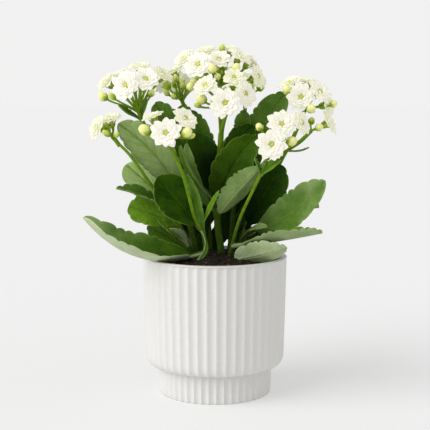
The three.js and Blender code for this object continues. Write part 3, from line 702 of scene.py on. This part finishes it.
def round_along(template, material, places, heading, radii, tint):
    """A round body along a path: one of the template's rings at each place."""
    piece = copy_of(template, material)
    turn, rise = on_pod(read_points(piece))
    rings = len(places) + 1
    station = np.clip(np.rint(rise * rings).astype(int) - 1, 0, len(places) - 1)
    aside = np.cross(heading[0], (0.31, 0.2, 0.93))
    sides = []
    for way in heading:
        aside = unit(aside - way * np.dot(aside, way))
        sides.append(aside)
    sides = np.array(sides)
    thirds = np.cross(heading, sides)
    pole = (rise < 1e-3) | (rise > 1 - 1e-3)
    radius = np.where(pole, 0, np.asarray(radii)[station])[:, None]
    spoke = np.cos(turn)[:, None] * sides[station] + np.sin(turn)[:, None] * thirds[station]
    points = places[station] + radius * spoke
    # Painted shade: the stem darkens towards the soil and deep among the leaves.
    painted_shade_near_soil = np.clip((158 - points[:, 2]) / 45, 0, 1)
    write_points(piece, points, tint=np.asarray(tint)[station],
                 deep=np.maximum(deep_among_leaves(points), painted_shade_near_soil))
    return piece


def leaf_rib(spec, base, t):
    """A leaf's midrib, an arc: its places, and the ways across the blade and out of its upper
    side at each."""
    start, end = np.array(base, float), np.array(spec["tip"], float)
    side = unit(np.cross(end - start, spec["face"]))
    above = unit(np.cross(side, end - start))
    roll = math.radians(spec["roll"])
    side, above = (side * math.cos(roll) + above * math.sin(roll),
                   above * math.cos(roll) - side * math.sin(roll))
    arch = spec["arch"] - spec["width"] / 2 * abs(math.sin(roll))
    middle = (start + end) / 2 + 2 * arch * above + 2 * spec["bend"] * side
    rib = (1 - t) ** 2 * start + 2 * t * (1 - t) * middle + t ** 2 * end
    heading = units(2 * (1 - t) * (middle - start) + 2 * t * (end - middle))
    side = units(side - heading * (heading @ side)[:, None])
    return rib, side, np.cross(side, heading)


def leaf_outline(spec, u, along, draw):
    """A leaf's half width at each point, with scallops of uneven length and depth that lean
    towards the tip, and how far the scallops wave the margin up and down."""
    width = spec["width"]
    power = math.log(0.5) / math.log(spec["belly"])
    outline = width / 2 * np.clip(np.sin(np.pi * along ** power), 0, 1) ** 0.52
    petiole = min(1.8, width / 8)
    half = np.where(along < 0.5, np.sqrt(outline ** 2 + petiole ** 2), outline)
    uneven = 0.3 * np.sin(2 * np.pi * (along * 2.3 + draw.random()))
    phase = along * 1.25 * (spec["teeth"] + 0.35) + uneven + np.where(u > 0, 0.0, 0.4)
    tooth = np.floor(phase)
    depth = TOOTH_DEPTH * (0.4 + 0.75 * ((tooth * 0.618 + draw.random()) % 1))
    lobe = np.sin(np.pi * (phase - tooth) ** 1.3) ** 0.5
    scalloped = np.clip(along * 5 - 0.6, 0, 1) * min(1, width / 20)
    half = np.maximum(half - depth * (1 - lobe) * scalloped, np.minimum(half, MARGIN_THICKNESS))
    return half, (lobe - 0.5) * scalloped


def leaf_section(spec, u):
    """A leaf's cross-section, two raised halves that turn up further at the margins: the slope,
    and how far out and up each point lies where the half width is 1."""
    steps = np.linspace(0, 1, 81)
    to_margin = np.clip((steps - 0.7) / 0.3, 0, 1)
    halves = []
    for curl in (spec["curl"], FAR_CURL):
        slope = (np.radians(spec["fold"]) * np.clip(steps / 0.15, 0, 1)
                 + np.radians(curl) * to_margin)
        half = [slope]
        for ways in (np.cos(slope), np.sin(slope)):
            half.append(np.concatenate([[0], np.cumsum((ways[1:] + ways[:-1]) / 2) * steps[1]]))
        halves.append([np.interp(np.abs(u), steps, share) for share in half])
    return np.where(u < 0, *halves)


def leaf_piece(template, material, base, spec, draw):
    piece = copy_of(template, material)
    u, v, w = read_points(piece).T
    v = 1 - (1 - (v + 1) / 2) ** 1.2
    edge, width = np.abs(u), spec["width"]
    small = min(1, width / 20)
    rib, side, normal = leaf_rib(spec, base, v[:, None])
    along = np.clip((v - PETIOLE) / (1 - PETIOLE), 0, 1)
    half, margin_wave = leaf_outline(spec, u, along, draw)
    slope, out, up = leaf_section(spec, u)
    across = np.sign(u) * half * out
    lift = half * up

    # Its waves, and its thickness: stout at the base, thin at the margins.
    sway = 2 * np.pi * (v * draw.uniform(1.6, 2.6) + draw.random()) + np.where(u > 0, 1.9, 0)
    lift = lift + edge ** 2 * width * 0.022 * np.sin(sway) * np.clip(v * 3, 0, 1)
    lift = lift + edge ** 4 * margin_wave
    thickness = LEAF_THICKNESS * np.sqrt(np.clip(1 - edge ** 3, 0, 1)) + MARGIN_THICKNESS
    stout = np.clip(1 - v / 0.3, 0, 1) ** 1.5
    thickness = thickness + 2.0 * stout * np.sqrt(np.clip(1 - edge ** 2, 0, 1))
    thickness = thickness * min(1, width / 9 + 0.25)
    keel = 0.9 * np.exp(-(across / 1.5) ** 2) * (1 - v) * small
    groove = 0.4 * np.exp(-(across / 0.9) ** 2) * np.clip(v * 6, 0, 1) * small
    lift = lift - np.where(w < 0, keel, groove) + w * thickness * np.cos(slope)
    across = across - w * thickness * np.sin(slope) * np.sign(u)
    points = rib + side * across[:, None] + normal * lift[:, None]

    # What its material reads: its youth, its wax and painted sheen, and the painted shade deep in
    # the plant.
    young = np.full(len(u), spec["young"] + draw.uniform(-0.04, 0.04))
    # Wax and painted sheen grow paler towards the tip, and also at the margins, where the paleness
    # is partly painted highlight.
    wax_and_sheen = spec["wax_and_sheen"] * (0.7 + 0.5 * v) + spec["tip_wax_and_sheen"] * v ** 3 + 0.14 * edge ** 3 * v
    write_points(piece, points, blade=np.stack([u, v, (w > 0) * 1.0], 1),
                 look=np.stack([young, wax_and_sheen, spec["inner"] * deep_among_leaves(points)], 1),
                 pale=np.full(len(u), spec["pale"]))
    return piece


# Leaf skin: dark green above, with a paler midrib, faint side veins, a thin pale margin that is
# partly painted highlight and here and there a waxy bloom with painted sheen, and paler below.
# Painted shade darkens it deep in the plant.
leaf_skin, shader, start = finish_of("waxy_leaf_painted_sheen", Specular_IOR_Level=0.03, Coat_Roughness=0.3)
across, along, upper = start.marks("blade")
young, wax_and_sheen, deep = start.marks("look")
edge = start.math("ABSOLUTE", across)
slant = along * 8 - edge * 2.6 + start.noise(60, 2) * 0.5
off_vein = start.math("ABSOLUTE", start.math("FRACT", slant) - 0.5)
side_vein = 1 - off_vein.between(0.0, 0.16)
midrib = 1 - edge.between(0.02, 0.09)
mottle = start.noise(90, 4, 0.6).between(0.3, 0.7)
dark = mottle.mix((0.009, 0.036, 0.0004), (0.024, 0.072, 0.0009))
green = mottle.mix((0.078, 0.168, 0.020), (0.118, 0.228, 0.038))
wax_and_sheen_tone = mottle.mix((0.29, 0.42, 0.13), (0.38, 0.50, 0.21))
fresh = mottle.mix((0.10, 0.23, 0.006), (0.18, 0.33, 0.014))
# How much wax and painted sheen a place shows, patchy over the leaf.
wax_and_sheen_share = wax_and_sheen * (start.noise(38, 3, 0.5).between(0.3, 0.7) * 0.5 + 0.7)
top = wax_and_sheen_share.between(0, 0.5).mix(dark, green)
top = wax_and_sheen_share.between(0.45, 1.05).mix(top, wax_and_sheen_tone)
top = young.mix(top, fresh)
top = (side_vein * (1 - edge) * (wax_and_sheen * 0.3 + 0.08)).mix(top, (0.17, 0.28, 0.03))
top = (midrib * (wax_and_sheen * 0.5 + 0.08)).mix(top, (0.17, 0.28, 0.03))
# A thin pale margin: partly the leaf's own paler edge, partly painted highlight.
top = (edge.between(0.92, 1.0) * 0.6).mix(top, (0.21, 0.31, 0.05))
under = mottle.mix((0.095, 0.17, 0.028), (0.15, 0.24, 0.055))
under = start.mark("pale").mix(under, mottle.mix((0.42, 0.50, 0.28), (0.52, 0.60, 0.38)))
under = (midrib * 0.4).mix(under, (0.40, 0.49, 0.24))
under = (side_vein * 0.16).mix(under, (0.17, 0.26, 0.07))
# Deep in the plant the colour goes nearly black: painted shade.
tone = (deep * 0.85).mix(upper.mix(under, top), (0.003, 0.014, 0.0004))
relief = (side_vein * (1 - edge) * 0.5 + midrib) * -0.5 + start.noise(420, 3) * 0.5
feed(shader, Base_Color=tone, Roughness=start.noise(120, 3) * 0.2 + 0.28,
     Coat_Weight=wax_and_sheen_share.between(0.1, 0.9) * (1 - deep) * 0.3,
     Normal=bump(start, relief, 0.0009, 0.9))

# Stem skin: light green, finely mottled, darkened deep down by painted shade, pale and yellow under
# the blooms.
stem_skin, shader, start = finish_of("green_stem", Specular_IOR_Level=0.06)
tint = start.mark("tint")
mottle = start.noise(260, 3)
tone = mottle.between(0.3, 0.7).mix((0.07, 0.16, 0.005), (0.13, 0.25, 0.012))
tone = tint.between(0.0, 0.5).mix(tone, (0.22, 0.35, 0.012))
tone = tint.between(0.5, 1).mix(tone, (0.56, 0.62, 0.12))
tone = (start.mark("deep") * 0.93).mix(tone, (0.016, 0.034, 0.003))
feed(shader, Base_Color=tone, Roughness=mottle * 0.2 + 0.36,
     Normal=bump(start, start.noise(500, 2), 0.0002, 0.6))

# Closed buds: pale cream, greener towards the calyx, with a faint glow that is painted light.
bud_skin, shader, start = finish_of("closed_bud", Specular_IOR_Level=0.2,
                                    Emission_Color=(0.85, 0.86, 0.40, 1), Emission_Strength=0.09)
tone = start.mark("tint").between(0.1, 0.7).mix((0.42, 0.52, 0.05), (0.79, 0.79, 0.33))
tone = (start.noise(300, 2).between(0.4, 0.7) * 0.3).mix(tone, (0.62, 0.66, 0.18))
feed(shader, Base_Color=tone, Roughness=start.noise(200, 2) * 0.2 + 0.4,
     Normal=bump(start, start.noise(600, 2), 0.00015, 0.5))

# The shapes that repeat, each modelled once. A rod has one ring for each station on its path.
STEM_STATIONS, STALK_STATIONS = 41, 15
leaf_blade = blade(24, 110)
sepal_blade = blade(4, 6)
stem_rod = pod(12, STEM_STATIONS + 1)
stalk_rod = pod(10, STALK_STATIONS + 1)
bud_pod = pod(16, 14)


def sepals(place, way, length, hug, flare, draw):
    """Four pointed sepals that hold a bloom or a bud. They stand "hug" from its axis two thirds
    of the way up and "flare" from it at the tip."""
    aside, third = frame_across(way)
    first = draw.uniform(0, 1.5)
    made = []
    for k in range(4):
        turn = first + k * math.pi / 2 + draw.uniform(-0.12, 0.12)
        out = math.cos(turn) * aside + math.sin(turn) * third
        over = np.cross(way, out)
        piece = copy_of(sepal_blade, stem_skin)
        u, v, w = read_points(piece).T
        v = (v + 1) / 2
        half = 1.55 * np.sin(np.pi * np.clip(v * 0.86 + 0.14, 0, 1) ** 0.8) ** 0.8 * hug / 2.6
        reach = np.interp(v, (0, 0.25, 0.65, 1), (0.6, hug * 0.8, hug, flare))
        bend = (u * half) ** 2 / (2 * hug + 1)
        rise = v * length * (1 + draw.uniform(-0.1, 0.1))
        points = (place + rise[:, None] * way + (reach - bend + w * 0.45)[:, None] * out
                  + (u * half)[:, None] * over)
        write_points(piece, points, tint=0.45 + 0.5 * v, deep=0 * v)
        made.append(piece)
    return made


def pedicel(node, heading, place, way, radius):
    """A thin stalk that leaves its node with the stalk's own heading and ends along "way"."""
    length = np.linalg.norm(place - node)
    first = node + 0.4 * length * unit(unit(place - node) + 0.5 * heading)
    last = place - 0.3 * length * way
    t = np.linspace(0, 1, STALK_STATIONS)[:, None]
    places = ((1 - t) ** 3 * node + 3 * t * (1 - t) ** 2 * first + 3 * t ** 2 * (1 - t) * last
              + t ** 3 * place)
    bearing = units(np.gradient(places, axis=0))
    t = t[:, 0]
    radii = radius * (1 + 1.4 * (t - 0.5) ** 2)
    return round_along(stalk_rod, stem_skin, places, bearing, radii, 0.2 + 0.25 * t)


def calyx(place, way, draw):
    """The green cup under a bloom, with its sepals; "place" is the bloom's middle."""
    steps = np.linspace(-CUP_LENGTH - 1, 0.4, STALK_STATIONS)
    places = place + steps[:, None] * way
    radii = np.interp(steps, (-7.5, -6.5, -5, -3, -1.2, 0.4), (0.9, 1.4, 1.9, 1.8, 1.9, 2.6))
    tint = np.interp(steps, (-7.5, -4, -1.5, 0.4), (0.4, 0.6, 0.9, 1))
    straight = np.tile(way, (STALK_STATIONS, 1))
    cup = round_along(stalk_rod, stem_skin, places, straight, radii, tint)
    return [cup] + sepals(place - (CUP_LENGTH + 0.2) * way, way, 6.9, 3.0, 5.2, draw)


def bud(place, way, radius, draw):
    """A closed bud: the young ones are still long, green and wrapped in their sepals."""
    young = radius < YOUNG_BUD_RADIUS
    piece = copy_of(bud_pod, bud_skin)
    turn, rise = on_pod(read_points(piece))
    aside, third = frame_across(way)
    up = -np.cos(np.pi * rise) * (1.6 if young else 1.16) * radius
    wide = (0.85 if young else 1) * radius * np.sin(np.pi * rise) ** 0.92
    wide = wide * (1 - 0.07 * np.abs(np.cos(2 * turn + 1.6 * rise)) ** 3 * (rise > 0.3))
    points = (place + up[:, None] * way + (wide * np.cos(turn))[:, None] * aside
              + (wide * np.sin(turn))[:, None] * third)
    write_points(piece, points, tint=rise * (0.45 if young else 1))
    low = place - (1.6 if young else 1.2) * radius * way
    long, flare = (2.5, 0.8) if young else (1.15, 1.12)
    return [piece] + sepals(low, way, long * radius, 0.9 * radius, flare * radius, draw)


def young_buds(node, blooms, draw):
    """The small buds that crowd the gaps below a head's blooms: their middles and radii."""
    tops = np.array([place for place, *_ in blooms], float)
    count = len(tops) + 2 if len(tops) > 1 else 0
    made = []
    for _ in range(count):
        between_two = tops[draw.choice(len(tops), 2, replace=False)].mean(axis=0)
        place = node + (between_two - node) * draw.uniform(0.6, 0.88) + draw.normal(0, 1.2, 3)
        made.append((place, draw.uniform(1.6, 2.4)))
    return made


def flower_head(head, draw):
    """A head's stalk, and from its end a pedicel for each bloom's calyx and each closed bud."""
    stalk, bearing = smooth_path(head["stalk"], STALK_STATIONS)
    radii = STALK_RADIUS * np.linspace(1.1, 1.15, STALK_STATIONS)
    tints = np.linspace(0.12, 0.2, STALK_STATIONS)
    made = [round_along(stalk_rod, stem_skin, stalk, bearing, radii, tints)]
    heading = bearing[-1]
    node = stalk[-1] - heading * 0.8
    for place, direction, _ in head["blooms"]:
        place, way = np.array(place, float), unit(direction)
        cup_foot = place - (CUP_LENGTH + 0.6) * way
        made.append(pedicel(node, heading, cup_foot, way, PEDICEL_RADIUS))
        made += calyx(place, way, draw)
    for place, radius in head["buds"] + young_buds(node, head["blooms"], draw):
        place = np.array(place, float)
        way = unit(unit(place - node) + 0.25 * heading)
        foot = place - 1.15 * radius * way
        made.append(pedicel(node, heading, foot, way, PEDICEL_RADIUS * 0.85))
        made += bud(place, way, radius, draw)
    return made


for seed, (stem_name, stem) in enumerate(STEMS.items(), start=40):
    draw = np.random.default_rng(seed)
    places, heading = smooth_path(stem["path"], STEM_STATIONS)
    taper = np.interp(np.linspace(0, 1, STEM_STATIONS), (0, 0.2, 1), (1.15, 1.05, 0.82))
    thick = stem["radius"] * taper
    for spec in stem["leaves"]:
        joint = np.exp(-((places[:, 2] - spec["start"]) / 2.5) ** 2)
        thick = thick * (1 + 0.16 * joint * min(1, spec["width"] / 20))
    tints = np.linspace(0.02, 0.2, STEM_STATIONS)
    greens = [round_along(stem_rod, stem_skin, places, heading, thick, tints)]
    for spec in stem["leaves"]:
        base = [np.interp(spec["start"], places[:, 2], places[:, k]) for k in range(3)]
        greens.append(leaf_piece(leaf_blade, leaf_skin, base, spec, draw))
    for head in stem["heads"].values():
        greens += flower_head(head, draw)
    piece = join(greens, "leafy_stem_" + stem_name)
    close_up(piece, 60)
    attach(piece, "root")
    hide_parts("stem_" + stem_name)

for template in (leaf_blade, sepal_blade, stem_rod, stalk_rod, bud_pod):
    bpy.data.objects.remove(template)

# ---- The blooms ----
# Double white blooms: four rings of petals with blunt points, each ring smaller and more upright
# than the one outside it, round an open yellow-green heart. Each is one piece.
PETAL_THICKNESS, HEART_RADIUS = 0.5, 2.2

# The rings from the outside in: petals, where they start, how long and wide they are, the
# angles at which they leave and end, and the height at which they start.
RINGS = [
    (10, 2.2, 11.1, 6.9, 17, -2, 0.4),
    (9, 2.2, 8.9, 6.0, 29, 10, 0.9),
    (7, 2.1, 6.1, 4.6, 42, 24, 1.3),
    (5, 1.9, 3.8, 3.2, 58, 44, 1.7),
]

# Each petal's ring and its turn, and one flat rosette whose points know which petal they are on.
petal_ring = np.concatenate([np.full(row[0], k) for k, row in enumerate(RINGS)])
petal_turn = np.concatenate([(np.arange(row[0]) + 0.5 * (k % 2)) * 2 * np.pi / row[0] + 0.3 * k
                             for k, row in enumerate(RINGS)])
petal_blade = blade(6, 8)
heart_pod = pod(20, 9)
petals = []
for number in range(len(petal_ring)):
    piece = copy_of(petal_blade)
    write_points(piece, read_points(piece) / MM,
                 petal=np.full(len(piece.data.vertices), number))
    petals.append(piece)
rosette = join(petals, "rosette")
mark = rosette.data.attributes["petal"]
which = np.empty(len(rosette.data.vertices))
mark.data.foreach_get("value", which)
rosette.data.attributes.remove(mark)
which = which.astype(int)
flat = read_points(rosette)

# The petals glow faintly: painted light that lifts the shade between them, in place of light
# through them.
petal_skin, shader, start = finish_of("white_petal", Specular_IOR_Level=0.15,
                                      Emission_Color=(1, 0.97, 0.84, 1), Emission_Strength=0.22)
across, along, upper = start.marks("blade")
lines = start.math("SINE", across * 14 + start.noise(120, 2) * 3) * 0.5 + 0.5
# The face is its own yellow-green at the base and darker there too, which is partly painted shade
# in the bloom's depths.
face = along.between(0.0, 0.22).mix((0.60, 0.62, 0.27), (0.76, 0.745, 0.68))
back = along.between(0.0, 0.6).mix((0.46, 0.57, 0.11), (0.75, 0.75, 0.62))
tone = upper.mix(back, face)
tone = (lines * along.between(0.2, 0.6) * 0.2).mix(tone, (0.64, 0.63, 0.50))
tone = (start.mark("fresh") * (1 - along * 0.6)).mix(tone, (0.58, 0.62, 0.24))
feed(shader, Base_Color=tone, Roughness=start.noise(240, 2) * 0.2 + 0.45,
     Normal=bump(start, lines * 0.6 + start.noise(500, 2) * 0.5, 0.00012, 0.4))

heart_skin, shader, start = finish_of("yellow_green_heart", Subsurface_Weight=0.1,
                                      Subsurface_Scale=0.002)
tone = start.mark("tint").between(0.3, 1.0).mix((0.34, 0.40, 0.03), (0.60, 0.61, 0.11))
feed(shader, Base_Color=tone, Roughness=start.noise(300, 2) * 0.2 + 0.45,
     Normal=bump(start, start.noise(700, 2), 0.0002, 0.5))


def bloom(place, direction, size, draw):
    """One bloom: its petals, each with its own length, width and angles, and its heart."""
    stand = Vector((0, 0, 1)).rotation_difference(Vector(unit(direction)))
    stand = np.array(stand.to_matrix())
    count = len(petal_ring)
    starts, longs, wides, leaves, ends, heights = np.array(RINGS, float)[petal_ring, 1:].T
    turn = draw.uniform(0, 2 * np.pi) + petal_turn + draw.normal(0, 0.08, count)
    long = longs * draw.uniform(0.84, 1.05, count) * size
    wide = wides * draw.uniform(0.92, 1.08, count) * size
    leave = np.radians(leaves + draw.normal(0, 2, count))
    end = np.radians(ends + draw.normal(0, 4, count))
    u, v, w = flat.T
    v = (v + 1) / 2
    shape = np.sin(np.pi * np.clip(v * 0.93 + 0.07, 0, 1) ** 1.5) ** 0.9
    half = wide[which] / 2 * np.maximum(shape, 0.04)

    # The petal's reach and rise are the sums of its heading along the way to v.
    sweep = (end - leave)[which]
    angle = leave[which] + sweep * v
    sweep = np.where(np.abs(sweep) < 1e-3, 1e-3, sweep)
    out = starts[which] * size + long[which] * (np.sin(angle) - np.sin(leave[which])) / sweep
    up = heights[which] + long[which] * (np.cos(leave[which]) - np.cos(angle)) / sweep
    cupped = u ** 2 * half * 0.16 * (1 - 0.5 * v)
    ruffle = 0.2 * np.sin(u * 5 + turn[which] * 7) * v ** 2
    lift = cupped + ruffle + w * PETAL_THICKNESS
    out = out - lift * np.sin(angle)
    up = up + lift * np.cos(angle)
    side = u * half
    cos, sin = np.cos(turn[which]), np.sin(turn[which])
    local = np.stack([out * cos - side * sin, out * sin + side * cos, up], 1)
    petals = copy_of(rosette, petal_skin)
    fresh = np.clip((0.98 - size) / 0.2, 0, 1) * draw.uniform(0.5, 0.9)
    write_points(petals, local @ stand.T + place, blade=np.stack([u, v, (w > 0) * 1.0], 1),
                 fresh=np.full(len(u), fresh))

    heart = copy_of(heart_pod, heart_skin)
    spin, rise = on_pod(read_points(heart))
    radius = HEART_RADIUS * np.sin(np.pi * rise) ** 0.6 * (1 + 0.22 * np.cos(5 * spin))
    height = 1.0 + 2.6 * rise - 1.1 * np.exp(-(radius / 1.1) ** 2) * (rise > 0.5)
    write_points(heart, round_places(spin, radius, height) @ stand.T + place, tint=rise)
    return join([petals, heart], "bloom")


seed = 100
for stem in STEMS.values():
    for head_name, head in stem["heads"].items():
        for k, (place, direction, size) in enumerate(head["blooms"], start=1):
            seed += 1
            piece = bloom(place, direction, size, np.random.default_rng(seed))
            piece.name = f"petals_{head_name}_{k}"
            close_up(piece, 60)
            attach(piece, "root")
            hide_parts(f"bloom_{head_name}_{k}")

for template in (petal_blade, heart_pod, rosette):
    bpy.data.objects.remove(template)
